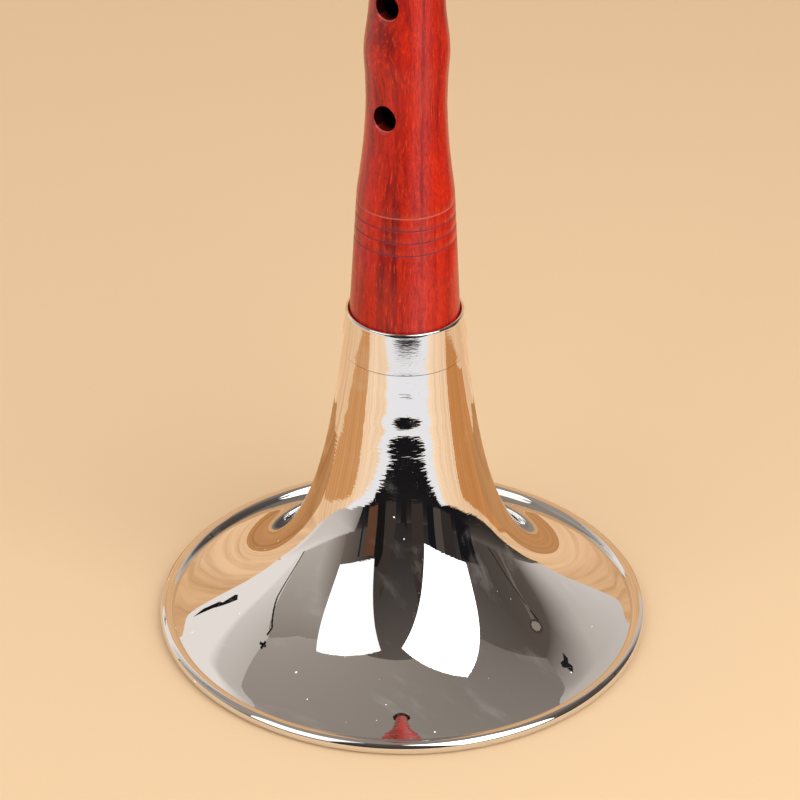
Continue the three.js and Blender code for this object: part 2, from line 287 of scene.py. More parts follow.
def placed(tree, vector, scale, turn=(0, 0, 0)):
    """A vector, scaled and then turned."""
    return add_node(tree, "ShaderNodeMapping", Vector=vector, Rotation=turn, Scale=scale).outputs[0]


def coordinates(tree, kind="Object"):
    return add_node(tree, "ShaderNodeTexCoord").outputs[kind]


def object_mm(tree, scale=(1, 1, 1), turn=0.0):
    """Object coordinates in millimetres, turned about Z and scaled."""
    rotated = placed(tree, coordinates(tree), TO_MM, (0, 0, turn))
    return rotated if scale == (1, 1, 1) else placed(tree, rotated, scale)


def noise(tree, vector, scale, detail=2.0, roughness=0.5):
    return add_node(tree, "ShaderNodeTexNoise", Vector=vector, Scale=scale, Detail=detail,
                    Roughness=roughness).outputs["Fac"]


def painted(tree, name, output="Fac"):
    """An attribute of the mesh."""
    return add_node(tree, "ShaderNodeAttribute", {"attribute_name": name}).outputs[output]


def bump(tree, height, strength, distance_mm):
    return add_node(tree, "ShaderNodeBump", Strength=strength, Distance=distance_mm * MM, Height=height).outputs[0]


def new_group(name, inputs, outputs):
    """A shader node group with float inputs and the named outputs."""
    group = bpy.data.node_groups.new(name, "ShaderNodeTree")
    for title, value in inputs.items():
        socket = group.interface.new_socket(title, in_out="INPUT", socket_type="NodeSocketFloat")
        socket.default_value = value
    for title in outputs:
        group.interface.new_socket(title, in_out="OUTPUT", socket_type="NodeSocketFloat")
    return group, group.nodes.new("NodeGroupInput").outputs, group.nodes.new("NodeGroupOutput")


def use_group(tree, group, **inputs):
    made = tree.nodes.new("ShaderNodeGroup")
    made.node_tree = group
    feed(tree, made, **inputs)
    return made.outputs


def new_material(name):
    material = bpy.data.materials.new(name)
    material.use_nodes = True
    tree = material.node_tree
    return material, tree, tree.nodes["Principled BSDF"]


# ------------------------------------------------ shared effects

# Cells to the metre, some of which hold a speck of dust
DUST_CELLS = 260.0
# How deep a scratch or a speck dents the plating, in millimetres
MARK_DEPTH = 0.002


def handling_marks():
    """Hairline scratches in several directions, and specks of dust."""
    group, given, made = new_group("handling_marks", {"Scratches": 0.5, "Dust": 0.5}, ("Scratches", "Dust"))
    place = coordinates(group)
    lines = []
    for turn, tilt, gain in ((0.5, 1.1, 1.0), (2.2, 0.7, 0.8), (4.1, 1.9, 0.7)):
        rotated = placed(group, place, TO_MM, (tilt, 0.4, turn))
        streak = noise(group, placed(group, rotated, (0.05, 1.6, 1.6)), 2.4, 1.0)
        gate = fade(group, noise(group, rotated, 0.09, 1.0), 0.56, 0.62, 0.0, gain)
        lines.append(product(group, fade(group, streak, 0.735, 0.75), gate))
    cells = add_node(group, "ShaderNodeTexVoronoi", {"feature": "F1"}, Vector=place, Scale=DUST_CELLS,
                     Randomness=1.0).outputs
    speck = maths(group, "LESS_THAN", cells["Distance"], remap(group, cells["Color"], 0.35, 1.0, 0.02, 0.08))
    chosen = maths(group, "GREATER_THAN", noise(group, place, DUST_CELLS, 0.0), 0.5)
    feed(group, made, Scratches=product(group, chained(group, "MAXIMUM", lines), given["Scratches"]),
         Dust=product(group, speck, chosen, given["Dust"]))
    return group


def spinning_marks():
    """What a spinning tool leaves round a sheet-metal piece: fine broken lines and slow waves, as heights."""
    sizes = {"Line Spacing": 0.4, "Line Length": 4.0, "Wave Spacing": 6.0}
    group, given, made = new_group("spinning_marks", sizes, ("Lines", "Waves"))
    spacing, length, rise = (given[name] for name in sizes)
    place = coordinates(group)
    x, y, z = split(group, placed(group, place, TO_MM))
    broken = join(group, maths(group, "DIVIDE", x, length), maths(group, "DIVIDE", y, length),
                  maths(group, "DIVIDE", z, spacing))
    waving = add_node(group, "ShaderNodeVectorMath", {"operation": "ADD"}, _0=placed(group, place, (14, 14, 0)),
                      _1=join(group, z=maths(group, "DIVIDE", z, rise))).outputs[0]
    feed(group, made, Lines=noise(group, broken, 1.0, 1.0, 0.6), Waves=noise(group, waving, 1.0, 1.0))
    return group


marks = handling_marks()
spinning = spinning_marks()

# ------------------------------------------------ materials


def red_hardwood():
    """Oiled red hardwood: straight grain with darker growth bands, orange fibres and fine pores."""
    material, tree, shader = new_material("red_hardwood")
    across, depth, height = split(tree, object_mm(tree, turn=-CAMERA_TURN))
    # The grain wanders a little along the pipe and leans over on its left side
    slow = noise(tree, object_mm(tree, (0.05, 0.05, 0.018), -CAMERA_TURN), 1.0)
    wander = product(tree, maths(tree, "SUBTRACT", slow, 0.5), 5.0)
    lean = product(tree, fade(tree, across, 1.0, -9.0), fade(tree, height, 118.0, 160.0, 0.0, 0.22))
    moved = total(tree, across, wander, product(tree, maths(tree, "SUBTRACT", height, 140.0), lean))
    grain = join(tree, moved, depth, height)

    def along(sx, sz):
        return placed(tree, grain, (sx, sx, sz))

    # Broad grain, with painted shade: the wood is darker on the side where the grain leans
    broad_grain_and_shade = maths(tree, "SUBTRACT", noise(tree, along(0.16, 0.006), 1.0, 2.0, 0.55),
                  fade(tree, across, 1.0, -7.0, 0.0, 0.085))
    bands = noise(tree, along(0.8, 0.016), 1.0, 4.0, 0.65)
    colour = ramp(tree, broad_grain_and_shade, [(0.3, (0.20, 0.006, 0.005)), (0.72, (0.61, 0.014, 0.002)),
                                (0.5, (0.40, 0.010, 0.004))])
    colour = blend_colour(tree, remap(tree, bands, 0.42, 0.72, 0.0, 0.6), colour, (0.64, 0.030, 0.003, 1))
    colour = blend_colour(tree, fade(tree, bands, 0.47, 0.28, 0.0, 0.6), colour, (0.10, 0.007, 0.010, 1))
    # A painted sheen: a pinker streak to the right of the middle
    painted_sheen = fade(tree, away_from(tree, moved, 3.4), 3.8, 0.3, 0.0, 0.6)
    colour = blend_colour(tree, painted_sheen, colour, (0.46, 0.046, 0.044, 1))
    # Two growth lines that run down the front
    followed = total(tree, across, product(tree, wander, 0.25))
    for place, low, high, strength in ((3.7, 60.0, 400.0, 0.5), (-2.7, 85.0, 128.0, 0.45)):
        line = fade(tree, away_from(tree, followed, place), 0.7, 0.05, 0.0, strength)
        broken = remap(tree, noise(tree, along(0.2, 0.05), 1.0), 0.3, 0.6, 0.35, 1.0)
        near = product(tree, fade(tree, height, low - 12, low + 6), fade(tree, height, high + 12, high - 6))
        colour = blend_colour(tree, product(tree, line, near, broken), colour, (0.075, 0.010, 0.022, 1))
    # Short bright fibres and fine dark pores along the grain
    fibres = noise(tree, along(3.2, 0.26), 1.0, 3.0, 0.65)
    colour = blend_colour(tree, fade(tree, fibres, 0.55, 0.72, 0.0, 0.75), colour, (0.80, 0.070, 0.010, 1))
    shade = noise(tree, along(5.0, 0.34), 1.0, 3.0, 0.7)
    colour = blend_colour(tree, remap(tree, shade, 0.54, 0.32, 0.0, 0.75), colour, (0.11, 0.006, 0.008, 1))
    pore = fade(tree, noise(tree, along(7.0, 0.75), 1.0, 1.0), 0.66, 0.73)
    colour = blend_colour(tree, product(tree, pore, 0.65), colour, (0.05, 0.004, 0.006, 1))
    # A purple-grey tint in the engraved rings, palest in the topmost
    dull, pale = (0.75, (0.17, 0.045, 0.075, 1)), (0.85, (0.52, 0.15, 0.10, 1))
    for ring in RING_HEIGHTS:
        strength, tint = pale if ring == RING_HEIGHTS[-1] else dull
        colour = blend_colour(tree, fade(tree, away_from(tree, height, ring), 0.24, 0.10, 0.0, strength), colour, tint)
    # A painted highlight, paler, on the holes' countersinks
    colour = blend_colour(tree, product(tree, painted(tree, "hole_edge"), 0.55), colour, (0.52, 0.14, 0.10, 1))
    # Painted shade, near black and deepening inwards, inside the holes and the bore
    colour = blend_colour(tree, product(tree, painted(tree, "inside"), 0.97), colour, (0.010, 0.002, 0.002, 1))
    relief = maths(tree, "SUBTRACT", product(tree, shade, 0.4), pore)
    feed(tree, shader, Base_Color=colour, Specular_IOR_Level=0.30, Normal=bump(tree, relief, 0.35, 0.03),
         Roughness=total(tree, remap(tree, shade, 0.3, 0.7, 0.33, 0.19), product(tree, pore, 0.2)))
    return material


def plated(name, colour, roughness, lines, waves, scratches, dust, line_length=5.0, dips=(), ragged=0.0):
    """Bright plating over spun sheet metal; lines, waves, ragged and the dips' depths are heights in millimetres."""
    material, tree, shader = new_material(name)
    worn = use_group(tree, marks, Scratches=scratches, Dust=dust)
    scratch, specks = worn["Scratches"], worn["Dust"]
    spun = use_group(tree, spinning, Line_Spacing=0.38, Line_Length=line_length, Wave_Spacing=5.5)
    place = object_mm(tree)
    film = remap(tree, noise(tree, place, 0.06, 3.0), 0.5, 0.75, 0.0, 0.02)
    shaded = blend_colour(tree, product(tree, scratch, 0.35), colour, (0.93, 0.93, 0.92, 1))
    # Wiped smudges of grease lie on it as a faint haze
    wiped = noise(tree, placed(tree, place, (0.035, 0.14, 0.06), (0.3, 0.5, 0.9)), 1.0, 5.0, 0.65)
    haze = fade(tree, wiped, 0.54, 0.78, 0.0, 0.11)
    relief = total(tree, product(tree, spun["Lines"], lines), product(tree, spun["Waves"], waves),
                   product(tree, total(tree, scratch, specks), -MARK_DEPTH))
    if dips:
        # The neck was worked hardest: coarser lines lie over the fine ones, with shallow dips between them
        height = split(tree, place)[2]
        coarse = use_group(tree, spinning, Line_Spacing=0.75, Line_Length=3.2)["Lines"]
        worked = product(tree, fade(tree, height, 42.0, 50.0), fade(tree, height, 63.6, 61.0, 0.15, 1.0))
        relief = total(tree, relief, product(tree, worked, coarse, ragged))
        for low, high, depth in dips:
            relief = maths(tree, "SUBTRACT", relief, fade(tree, height, low, high, 0.0, depth))
    feed(tree, shader,
         Base_Color=blend_colour(tree, specks, shaded, (0.95, 0.94, 0.9, 1)),
         Metallic=maths(tree, "SUBTRACT", maths(tree, "SUBTRACT", 1.0, haze), specks, clamp=True),
         Roughness=total(tree, film, roughness, product(tree, scratch, 0.25), product(tree, specks, 0.6)),
         Normal=bump(tree, relief, 1.0, 1.0))
    return material


def blackened_under(plating):
    """The same plating over the top of a piece, dark brown on the side that faces down, and golden round its rim."""
    material = plating.copy()
    material.name = "disc_plating"
    tree = material.node_tree
    shader = tree.nodes["Principled BSDF"]
    bright, rough = (shader.inputs[name].links[0].from_socket for name in ("Base Color", "Roughness"))
    facing = split(tree, coordinates(tree, "Normal"))[2]
    patchy = remap(tree, noise(tree, object_mm(tree), 0.6, 4.0), 0.25, 0.45, 0.9, 1.0)
    under = product(tree, fade(tree, facing, -0.55, -0.85), patchy)
    edge = fade(tree, maths(tree, "ABSOLUTE", facing), 0.75, 0.45, 0.0, 0.6)
    shade = blend_colour(tree, edge, bright, (0.66, 0.48, 0.22, 1))
    feed(tree, shader, Base_Color=blend_colour(tree, under, shade, (0.05, 0.022, 0.018, 1)),
         Roughness=total(tree, rough, product(tree, under, 0.35)))
    return material


def dull_brass():
    material, tree, shader = new_material("brass")
    scratch = use_group(tree, marks, Scratches=0.6, Dust=0.0)["Scratches"]
    lines = use_group(tree, spinning, Line_Spacing=0.3, Line_Length=9.0, Wave_Spacing=3.0)["Lines"]
    cloud = noise(tree, object_mm(tree), 0.35, 4.0, 0.6)
    colour = ramp(tree, cloud, [(0.3, (0.52, 0.34, 0.13)), (0.7, (0.80, 0.60, 0.28))])
    feed(tree, shader, Base_Color=blend_colour(tree, scratch, colour, (0.9, 0.74, 0.42, 1)), Metallic=1.0,
         Roughness=remap(tree, cloud, 0.3, 0.7, 0.34, 0.18), Normal=bump(tree, lines, 0.3, 0.02))
    return material


def bare_cane():
    """Scraped cane: pale yellow with fine fibres, browner at its foot and tip."""
    material, tree, shader = new_material("cane")
    fibres = noise(tree, object_mm(tree, (5.0, 5.0, 0.25)), 1.0, 3.0, 0.6)
    colour = ramp(tree, fibres, [(0.3, (0.50, 0.32, 0.12)), (0.7, (0.80, 0.62, 0.33)), (0.5, (0.70, 0.50, 0.23))])
    height = split(tree, object_mm(tree))[2]
    handled = maths(tree, "MAXIMUM", fade(tree, height, 378.0, 380.6, 0.0, 0.55),
                    fade(tree, height, 362.5, 359.6, 0.0, 0.4))
    blotch = remap(tree, noise(tree, object_mm(tree), 0.5, 3.0), 0.55, 0.75, 0.0, 0.3)
    used = maths(tree, "ADD", handled, blotch, clamp=True)
    feed(tree, shader, Base_Color=blend_colour(tree, used, colour, (0.30, 0.16, 0.06, 1)),
         Roughness=remap(tree, fibres, 0.3, 0.7, 0.62, 0.45), Normal=bump(tree, fibres, 0.5, 0.05))
    return material


def waxed_thread():
    material, tree, shader = new_material("thread")
    twist = noise(tree, object_mm(tree, (1.2, 1.2, 6.0)), 1.0, 3.0, 0.7)
    feed(tree, shader, Base_Color=ramp(tree, twist, [(0.3, (0.58, 0.50, 0.36)), (0.7, (0.88, 0.83, 0.70))]),
         Roughness=remap(tree, twist, 0.3, 0.7, 0.8, 0.6), Normal=bump(tree, twist, 0.5, 0.04))
    return material


def drawn_steel():
    material, tree, shader = new_material("rim_wire")
    cloud = noise(tree, object_mm(tree), 0.8, 4.0, 0.6)
    feed(tree, shader, Base_Color=ramp(tree, cloud, [(0.3, (0.22, 0.21, 0.20)), (0.7, (0.46, 0.45, 0.43))]),
         Metallic=1.0, Roughness=remap(tree, cloud, 0.3, 0.7, 0.5, 0.3))
    return material


wood = red_hardwood()
# Where each dip starts and ends up the neck, and how deep it is
NECK_DIPS = ((56.8, 62.9, 0.038), (63.9, 68.3, 0.031), (71.6, 74.8, 0.0115))
bell_plating = plated("bell_plating", (0.80, 0.79, 0.78, 1), 0.01, 0.0016, 0.0100, 0.35, 0.9,
                      dips=NECK_DIPS, ragged=0.0085)
collar_plating = plated("collar_plating", (0.79, 0.78, 0.77, 1), 0.05, 0.0038, 0.004, 1.3, 0.5, 1.3)
bead_plating = plated("bead_plating", (0.76, 0.75, 0.72, 1), 0.05, 0.0008, 0.002, 0.6, 0.3)
disc_plating = blackened_under(bead_plating)
brass = dull_brass()
cane = bare_cane()
thread = waxed_thread()
steel = drawn_steel()

# ------------------------------------------------ bell


def flare_radius(z):
    """Outside radius of the flare at a height: a smooth horn that flattens towards its edge."""
    up = z - BEAD_HEIGHT
    horn = 13.10 + 5000 * (up + 21.96) ** -1.508 - 0.0347 * up
    return horn - 0.70 * math.exp(-(((z - 2) / 7) ** 2))


def bell_outline():
    neck = [(taper(z) + SEAT_CLEARANCE + SHEET, z) for z in (COLLAR_TOP - LIP_DEPTH, SEAM_HEIGHT)]
    # Closer together towards the mouth, where the flare turns fastest
    heights = [mix(FLARE_FOOT, SEAM_HEIGHT, share**2.2) for share in np.linspace(1, 0, 72)]
    knots = [(flare_radius(z), z) for z in heights] + [(57.4, 2.52), (58.93, 2.12)]
    outside = smooth_line(knots, 0.9)
    inside = inset(outside, SHEET)[::-1]
    worn = math.degrees(math.asin((WORN_FLAT - BEAD_HEIGHT) / BEAD_RADIUS))
    curl = BEAD_RADIUS - SHEET
    return [
        *neck, *outside,
        *arc(BEAD_RING, BEAD_HEIGHT, BEAD_RADIUS, 167, worn, 26)[1:],
        *arc(BEAD_RING, BEAD_HEIGHT, BEAD_RADIUS, -180 - worn, -150, 5),
        *arc(BEAD_RING, BEAD_HEIGHT, curl, -150, 182, 26),
        *inside[1:-1],
        (outside[0][0] - SHEET, SEAM_HEIGHT - SHEET),
        (neck[1][0] - SHEET, SEAM_HEIGHT - SHEET),
        (neck[0][0] - SHEET, neck[0][1]),
    ]


finish_piece(lathe(bell_outline(), 240), "bell_sheet", "bell", ["bell"], bell_plating)

wire_size = BEAD_RADIUS - SHEET - WIRE_GAP
finish_piece(lathe(arc(BEAD_RING, BEAD_HEIGHT, wire_size, 0, 360, 14)[1:], 160), "rim_stiffener", "bell",
             ["rim_wire"], steel)


def collar_outline():
    """A straight tapered sleeve whose upper edge is rolled inwards to a smooth lip round the wood."""
    foot = SEAM_HEIGHT + SOLDER_GAP
    inner = taper(foot) + SEAT_CLEARANCE + SHEET + SOLDER_GAP
    low = taper(foot) + SEAT_CLEARANCE + 2 * SHEET + SOLDER_GAP + COLLAR_LOOSENESS
    high = low - COLLAR_SLOPE * (COLLAR_TOP - foot)
    middle = COLLAR_TOP - LIP_RADIUS - 0.02
    neck_top = COLLAR_TOP - LIP_DEPTH + 0.15
    return [
        (inner, foot), (low - 0.12, foot), (low, foot + 0.12),
        *[(mix(low, high, u), mix(foot, COLLAR_TOP, u)) for u in np.linspace(0.08, 0.92, 12)],
        *arc(high + 0.05 - LIP_RADIUS, middle, LIP_RADIUS, 8, 172, 12),
        (taper(middle) + 0.20, middle - 0.35),
        (taper(neck_top) + SEAT_CLEARANCE + SHEET + SOLDER_GAP, neck_top),
    ]


finish_piece(lathe(collar_outline(), 200), "neck_collar", "bell", ["bell_collar"], collar_plating)

# ------------------------------------------------ pipe

# The pipe's radius at each finger hole, narrowing upwards
WAISTS = [7.0 + 2.6 * (1 - k / 6) ** 2 for k in range(HOLES)]
# The swelling between two holes: how far up it, and how much of its rise; then the curves below and above the holes
SWELL = ((0.1, 0.08), (0.2, 0.24), (0.31, 0.45), (0.425, 0.8), (0.535, 1.0), (0.645, 0.84),
         (0.755, 0.48), (0.86, 0.17), (0.95, 0.03))
COVE = ((122.1, 11.57), (123.6, 11.37), (125.2, 11.15), (128.4, 10.75), (131.5, 10.38), (134.6, 10.08),
        (137.7, 9.87), (140.8, 9.70))
END = ((0.12, 0.05), (0.3, 0.55), (0.46, 0.9), (0.6, 0.75), (0.7, 0.3), (0.78, 0.72))


def pipe_outside():
    points = smooth_line([(taper(z), z) for z in (PIPE_FOOT + 0.7, 100.0)], 3.0)
    groove = ((-0.30, 0.0), (-0.20, 0.03), (-0.06, 0.24), (0.06, 0.24), (0.20, 0.03), (0.30, 0.0))
    for ring in RING_HEIGHTS:
        points += [(taper(ring + dz) - deep, ring + dz) for dz, deep in groove]
    points.append((taper(120.4), 120.4))
    knots = [(taper(121.2), 121.2)] + [(r, z) for z, r in COVE]
    for k in range(HOLES - 1):
        rise = mix(0.9, 0.5, k / (HOLES - 2))
        z = FIRST_HOLE + HOLE_PITCH * k
        knots.append((WAISTS[k], z))
        knots += [(mix(WAISTS[k], WAISTS[k + 1], u) + rise * s, z + HOLE_PITCH * u) for u, s in SWELL]
    last = FIRST_HOLE + HOLE_PITCH * (HOLES - 1)
    knots.append((WAISTS[-1], last))
    knots += [(mix(WAISTS[-1], 7.5, out), mix(last, PIPE_TOP, up)) for up, out in END]
    knots += [(PIPE_END_RADIUS, PIPE_TOP - 4.2), (PIPE_END_RADIUS, PIPE_TOP - 1.3)]
    points += smooth_line(knots, 1.1)
    rounding = 1.2
    return points + arc(PIPE_END_RADIUS - rounding, PIPE_TOP - rounding, rounding, 0, 90, 7)[1:]


def pipe_outline():
    bore_top = STAPLE_FOOT_RADIUS - STAPLE_WALL
    bore = [(mix(bore_top, BORE_FOOT_RADIUS, s), mix(SOCKET_FLOOR, PIPE_FOOT, s)) for s in np.linspace(0, 1, 30)]
    return [
        (FOOT_RADIUS - 0.6, PIPE_FOOT), (FOOT_RADIUS - 0.2, PIPE_FOOT + 0.2), *pipe_outside(),
        (SOCKET_RADIUS + 0.3, PIPE_TOP), (SOCKET_RADIUS, PIPE_TOP - 0.3), (SOCKET_RADIUS, SOCKET_FLOOR),
        (bore_top, SOCKET_FLOOR), *bore[1:-1],
        (BORE_FOOT_RADIUS, PIPE_FOOT + 0.3), (BORE_FOOT_RADIUS + 0.3, PIPE_FOOT),
    ]


HOLE_PLACES = [(FIRST_HOLE + HOLE_PITCH * k, WAISTS[k]) for k in range(HOLES)]
HOLE_PLACES.append((THUMB_HOLE, mix(WAISTS[-2], WAISTS[-1], 0.5) + 0.5))


def drill(z, surface, side):
    """A cutter for one hole, out from the bore along one side, with a fine countersink."""
    start = surface - HOLE_RADIUS**2 / (2 * surface) - 0.12
    line = ((HOLE_RADIUS, 0.5), (HOLE_RADIUS, start + 0.1), (HOLE_RADIUS + SINK_WIDTH, start + 0.45),
            (HOLE_RADIUS + 6, start + 4))
    bm = bmesh.new()
    ring = [bm.verts.new((r, 0, h)) for r, h in line]
    for a, b in zip(ring, ring[1:]):
        bm.edges.new((a, b))
    bmesh.ops.spin(bm, geom=bm.verts[:] + bm.edges[:], cent=(0, 0, 0), axis=(0, 0, 1),
                   angle=2 * math.pi, steps=64, use_merge=True)
    bmesh.ops.holes_fill(bm, edges=[e for e in bm.edges if e.is_boundary])
    bmesh.ops.recalc_face_normals(bm, faces=bm.faces[:])
    # Turned a little about itself, so that none of its edges meets an edge of the pipe, then laid over
    for degrees, axis in ((1.7, "Z"), (90 * -side, "X")):
        turn = Matrix.Rotation(math.radians(degrees), 3, axis)
        bmesh.ops.rotate(bm, verts=bm.verts[:], cent=(0, 0, 0), matrix=turn)
    bmesh.ops.translate(bm, verts=bm.verts[:], vec=(0, 0, z))
    bmesh.ops.scale(bm, vec=(MM, MM, MM), verts=bm.verts[:])
    return mesh_object("drill", bm)


# How far a face looks outwards: less inside a hole, more on the countersink, most on the skin
HOLE_FACING = 0.35
SINK_FACING = 0.72


def turned_pipe():
    piece = finish_piece(lathe(pipe_outline(), 128), "turned_pipe", "pipe", ["pipe"], wood)
    drills = [drill(z, waist, 1 if z == THUMB_HOLE else -1) for z, waist in HOLE_PLACES]
    for cutter in drills:
        cut = piece.modifiers.new("hole", "BOOLEAN")
        cut.object = cutter
        cut.operation = "DIFFERENCE"
        cut.solver = "EXACT"
    bpy.context.view_layer.update()
    bored = bpy.data.meshes.new_from_object(piece.evaluated_get(bpy.context.evaluated_depsgraph_get()))
    piece.modifiers.clear()
    piece.data = bored
    for cutter in drills:
        bpy.data.objects.remove(cutter)
    bm = bmesh.new()
    bm.from_mesh(bored)
    # Masks for the painted shade inside the holes and the bore, and for the painted highlight on the countersinks
    inside, edge_of = bm.loops.layers.float.new("inside"), bm.loops.layers.float.new("hole_edge")
    for face in bm.faces:
        face.smooth = True
        x, y, z = face.calc_center_median() / MM
        outwards = face.normal.dot(Vector((x, y, 0)).normalized())
        off, waist = min((abs(z - h), w) for h, w in HOLE_PLACES)
        off = max(off, abs(x))
        in_hole = off < HOLE_RADIUS + 0.4 and outwards < HOLE_FACING
        on_edge = off < HOLE_RADIUS + 0.9 and HOLE_FACING < outwards < SINK_FACING
        in_bore = outwards < -0.2 and PIPE_FOOT + 0.5 < z < PIPE_TOP - 0.5
        for corner in face.loops:
            corner[edge_of] = float(on_edge)
            depth = waist - corner.vert.co.xy.length / MM
            corner[inside] = 1.0 if in_bore else min(1.0, max(0.0, 0.3 + depth / 1.6)) if in_hole else 0.0
    for edge in bm.edges:
        edge.smooth = not (len(edge.link_faces) == 2 and edge.calc_face_angle(0) > math.radians(22))
    bm.to_mesh(bored)
    bm.free()
    return piece


turned_pipe()

# ------------------------------------------------ staple, beads and disc


def staple_outline():
    flange = staple_radius(FLANGE_FOOT) + FLANGE_WIDTH
    return [
        (STAPLE_FOOT_RADIUS, STAPLE_FOOT),
        (staple_radius(FLANGE_FOOT), FLANGE_FOOT),
        (flange - 0.15, FLANGE_FOOT), (flange, FLANGE_FOOT + 0.15), (flange, FLANGE_TOP - 0.15),
        (flange - 0.15, FLANGE_TOP), (staple_radius(FLANGE_TOP), FLANGE_TOP),
        (STAPLE_TIP_RADIUS, STAPLE_TIP - 0.1), (STAPLE_TIP_RADIUS - 0.1, STAPLE_TIP),
        (STAPLE_TIP_RADIUS - STAPLE_WALL, STAPLE_TIP), (STAPLE_FOOT_RADIUS - STAPLE_WALL, STAPLE_FOOT),
    ]


finish_piece(lathe(staple_outline(), 96), "staple_cone", "staple", ["staple"], brass)


def bead_outline(foot, radius, tall):
    """A hollow bead pressed from sheet, with a soldered seam round its middle."""
    bore = staple_radius(foot) + 0.1
    middle = foot + tall / 2

    def shell(size, half):
        start = math.asin(bore / size)
        angles = np.linspace(start, math.pi - start, 41)
        return [(size * math.sin(a), middle - half * math.cos(a) / math.cos(start)) for a in angles]

    seam_width, seam_depth = 0.18, 0.08
    outside = [(r - seam_depth * max(0.0, 1 - abs(z - middle) / seam_width), z)
               for r, z in shell(radius - 0.01, tall / 2)]
    return outside + shell(radius - SHEET, tall / 2 - SHEET)[::-1]


for name, node, foot, radius, tall in (("lower_bead", "large_bead", LARGE_BEAD_FOOT, 6.6, 9.5),
                                       ("upper_bead", "small_bead", SMALL_BEAD_FOOT, 4.6, 5.5)):
    finish_piece(lathe(bead_outline(foot, radius, tall), 96), name, "staple", [node], bead_plating)


def disc_outline():
    bore = staple_radius(DISC_FOOT) + 0.25
    flat = staple_radius(FLANGE_FOOT) + FLANGE_WIDTH
    edge = DISC_THICKNESS / 2 + 0.25
    middle = DISC_FOOT - DISC_DISH + DISC_THICKNESS / 2
    meet = math.degrees(math.asin(DISC_THICKNESS / 2 / edge))
    low = DISC_FOOT - DISC_DISH
    under = smooth_line([(bore + 0.1, DISC_FOOT), (flat, DISC_FOOT), (flat + 2.6, DISC_FOOT - 0.18),
                         (DISC_RADIUS - 2.8, low + 0.12), (DISC_RADIUS - edge - 0.5, low)], 0.5)
    over = [(r, z + DISC_THICKNESS) for r, z in under[::-1]]
    return [
        (bore, DISC_FOOT + 0.1), *under,
        *arc(DISC_RADIUS - edge, middle, edge, meet - 180, 180 - meet, 20),
        *over, (bore, DISC_FOOT + DISC_THICKNESS - 0.1),
    ]


finish_piece(lathe(disc_outline(), 144), "lip_disc", "air_disc", ["air_disc"], disc_plating)

# ------------------------------------------------ thread, reed and its wire


def helix(radius, size, start, pitch, turns, around=32, sides=10):
    """A round strand wound about the Z axis, closed at its ends."""
    bm = bmesh.new()
    bmesh.ops.create_circle(bm, segments=sides, radius=size)
    bmesh.ops.rotate(bm, verts=bm.verts[:], cent=(0, 0, 0), matrix=Matrix.Rotation(math.radians(90), 3, "X"))
    bmesh.ops.translate(bm, verts=bm.verts[:], vec=(radius, 0, start))
    bmesh.ops.spin(bm, geom=bm.verts[:] + bm.edges[:], cent=(0, 0, 0), axis=(0, 0, 1),
                   dvec=(0, 0, pitch / around), angle=2 * math.pi * turns, steps=around * turns)
    bmesh.ops.holes_fill(bm, edges=[e for e in bm.edges if e.is_boundary])
    bmesh.ops.recalc_face_normals(bm, faces=bm.faces[:])
    return bm


def join_into(bm, other):
    """Adds another bmesh's faces to this one."""
    mesh = bpy.data.meshes.new("part")
    other.to_mesh(mesh)
    other.free()
    bm.from_mesh(mesh)
    bpy.data.meshes.remove(mesh)
    return bm


def thread_winding():
    foot, top = STAPLE_FOOT + THREAD_INSET, PIPE_TOP - THREAD_INSET
    core = lathe([(staple_radius(foot) + 0.08, foot), (THREAD_RADIUS, foot + 0.2), (THREAD_RADIUS, top - 0.2),
                  (staple_radius(top) + 0.08, top)], 48)
    turns = round((top - foot - 0.6) / THREAD_PITCH)
    return join_into(core, helix(THREAD_RADIUS, THREAD_SIZE, foot + 0.35, THREAD_PITCH, turns, 24, 6))


finish_piece(thread_winding(), "thread_winding", "staple", ["staple_thread"], thread, 60)

# How far up the blades, how much of their width, and how much of their flattening
BLADE = ((0.0, 0.0, 0.0), (0.06, 0.0, 0.06), (0.12, 0.02, 0.16), (0.27, 0.24, 0.42), (0.45, 0.52, 0.64),
         (0.68, 0.8, 0.84), (1.0, 1.0, 1.0))


def reed_bore(z):
    return staple_radius(z) + 0.1


def cane_reed():
    """A cane tube drawn up ring by ring, flattened to two blades, then given its wall."""
    rows = [(z, reed_bore(z), reed_bore(z)) for z in np.linspace(REED_FOOT, STAPLE_TIP, 8)]
    throat = reed_bore(STAPLE_TIP)
    places, widths, flats = zip(*BLADE)
    for share in np.linspace(0, 1, 25)[1:]:
        rows.append((mix(STAPLE_TIP, REED_TOP, share),
                     mix(throat, BLADE_HALF_WIDTH, np.interp(share, places, widths)),
                     mix(throat, BLADE_HALF_GAP, np.interp(share, places, flats))))
    bm = bmesh.new()
    bmesh.ops.create_circle(bm, segments=64, radius=1.0)
    bmesh.ops.translate(bm, verts=bm.verts[:], vec=(0, 0, rows[0][0]))
    bmesh.ops.scale(bm, vec=(rows[0][1], rows[0][2], 1), verts=bm.verts[:])
    ring = bm.edges[:]
    for before, row in zip(rows, rows[1:]):
        made = bmesh.ops.extrude_edge_only(bm, edges=ring)["geom"]
        ring = [g for g in made if isinstance(g, bmesh.types.BMEdge)]
        verts = [g for g in made if isinstance(g, bmesh.types.BMVert)]
        bmesh.ops.scale(bm, vec=(row[1] / before[1], row[2] / before[2], 1), verts=verts)
        bmesh.ops.translate(bm, verts=verts, vec=(0, 0, row[0] - before[0]))
    bmesh.ops.recalc_face_normals(bm, faces=bm.faces[:])
    if bm.faces[:][0].normal.dot(bm.faces[:][0].calc_center_median() - Vector((0, 0, REED_FOOT))) < 0:
        bmesh.ops.reverse_faces(bm, faces=bm.faces[:])
    bmesh.ops.solidify(bm, geom=bm.faces[:], thickness=-REED_WALL)
    return bm


finish_piece(cane_reed(), "cane_reed", "reed", ["reed"], cane, 50)

